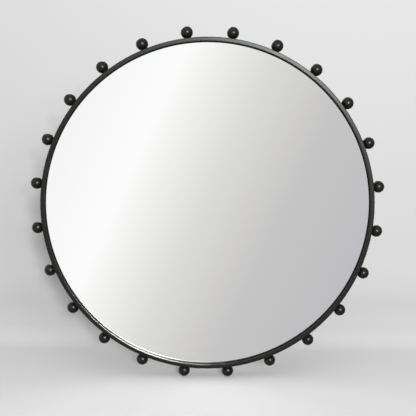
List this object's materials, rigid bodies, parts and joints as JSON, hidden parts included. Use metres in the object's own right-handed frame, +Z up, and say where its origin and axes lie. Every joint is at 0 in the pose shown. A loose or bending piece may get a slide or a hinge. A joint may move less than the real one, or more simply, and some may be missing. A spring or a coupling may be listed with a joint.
{
  "type": "wall mirror",
  "caption": "Round outdoor wall mirror: black steel hoop ringed with evenly spaced balls, glass set back inside it, metal back panel and hanging rings.",
  "frame": {"origin": "the mirror's centre, half way through its depth, which runs from the hoop's front edge to the faces of the rubber bumpers that touch the wall", "axes": "+X to the right of a viewer in front, +Y away from the viewer into the wall, +Z up"},
  "size_m": [0.892, 0.043, 0.892],
  "materials": {
    "hoop_black": "satin black powder coat on rolled steel bar",
    "ball_black": "satin black powder coat on steel balls",
    "bracket_black": "black powder coat on welded steel tabs",
    "nylon_black": "black nylon",
    "screw_black": "black oxide steel",
    "mirror_silver": "silvered clear float glass, faint green at the edge",
    "film_grey": "grey polyethylene safety film",
    "silicone_black": "black neutral silicone",
    "foam_white": "white closed-cell foam tape",
    "adhesive_cream": "cream mirror adhesive",
    "galvanised_sheet": "hot-dip galvanised sheet with a fine spangle",
    "zinc_plate": "bright zinc plate",
    "zinc_wire": "zinc-plated steel wire",
    "rivet_steel": "zinc-plated steel rivets",
    "rubber_black": "black moulded rubber"
  },
  "bodies": {
    "mirror": {"adhesive_beads": "adhesive_cream", "back_panel": "galvanised_sheet", "ball_01": "ball_black", "ball_02": "ball_black", "ball_03": "ball_black", "ball_04": "ball_black", "ball_05": "ball_black", "ball_06": "ball_black", "ball_07": "ball_black", "ball_08": "ball_black", "ball_09": "ball_black", "ball_10": "ball_black", "ball_11": "ball_black", "ball_12": "ball_black", "ball_13": "ball_black", "ball_14": "ball_black", "ball_15": "ball_black", "ball_16": "ball_black", "ball_17": "ball_black", "ball_18": "ball_black", "ball_19": "ball_black", "ball_20": "ball_black", "ball_21": "ball_black", "ball_22": "ball_black", "ball_23": "ball_black", "ball_24": "ball_black", "ball_screws": "screw_black", "ball_washers": "nylon_black", "edge_seal": "silicone_black", "fixing_lugs": "bracket_black", "foam_tape": "foam_white", "hanger_plate_left": "bracket_black", "hanger_plate_right": "bracket_black", "hanger_rivets": "rivet_steel", "hanger_strap_left": "zinc_plate", "hanger_strap_right": "zinc_plate", "hoop": "hoop_black", "mirror_glass": "mirror_silver", "panel_nuts": "zinc_plate", "panel_studs": "zinc_plate", "panel_washers": "zinc_plate", "safety_film": "film_grey", "wall_bumpers": "rubber_black", "weld_beads": "bracket_black"},
    "left_ring": {"d_ring_left": "zinc_wire"},
    "right_ring": {"d_ring_right": "zinc_wire"}
  },
  "joints": [
    {"name": "left_ring_hinge", "type": "hinge", "parent": "mirror", "child": "left_ring", "pos_m": [-0.20475, 0.00471, 0.29864], "axis": [1, 0, 0], "range_deg": [0, 180]},
    {"name": "right_ring_hinge", "type": "hinge", "parent": "mirror", "child": "right_ring", "pos_m": [0.20475, 0.00471, 0.29864], "axis": [1, 0, 0], "range_deg": [0, 180]}
  ]
}
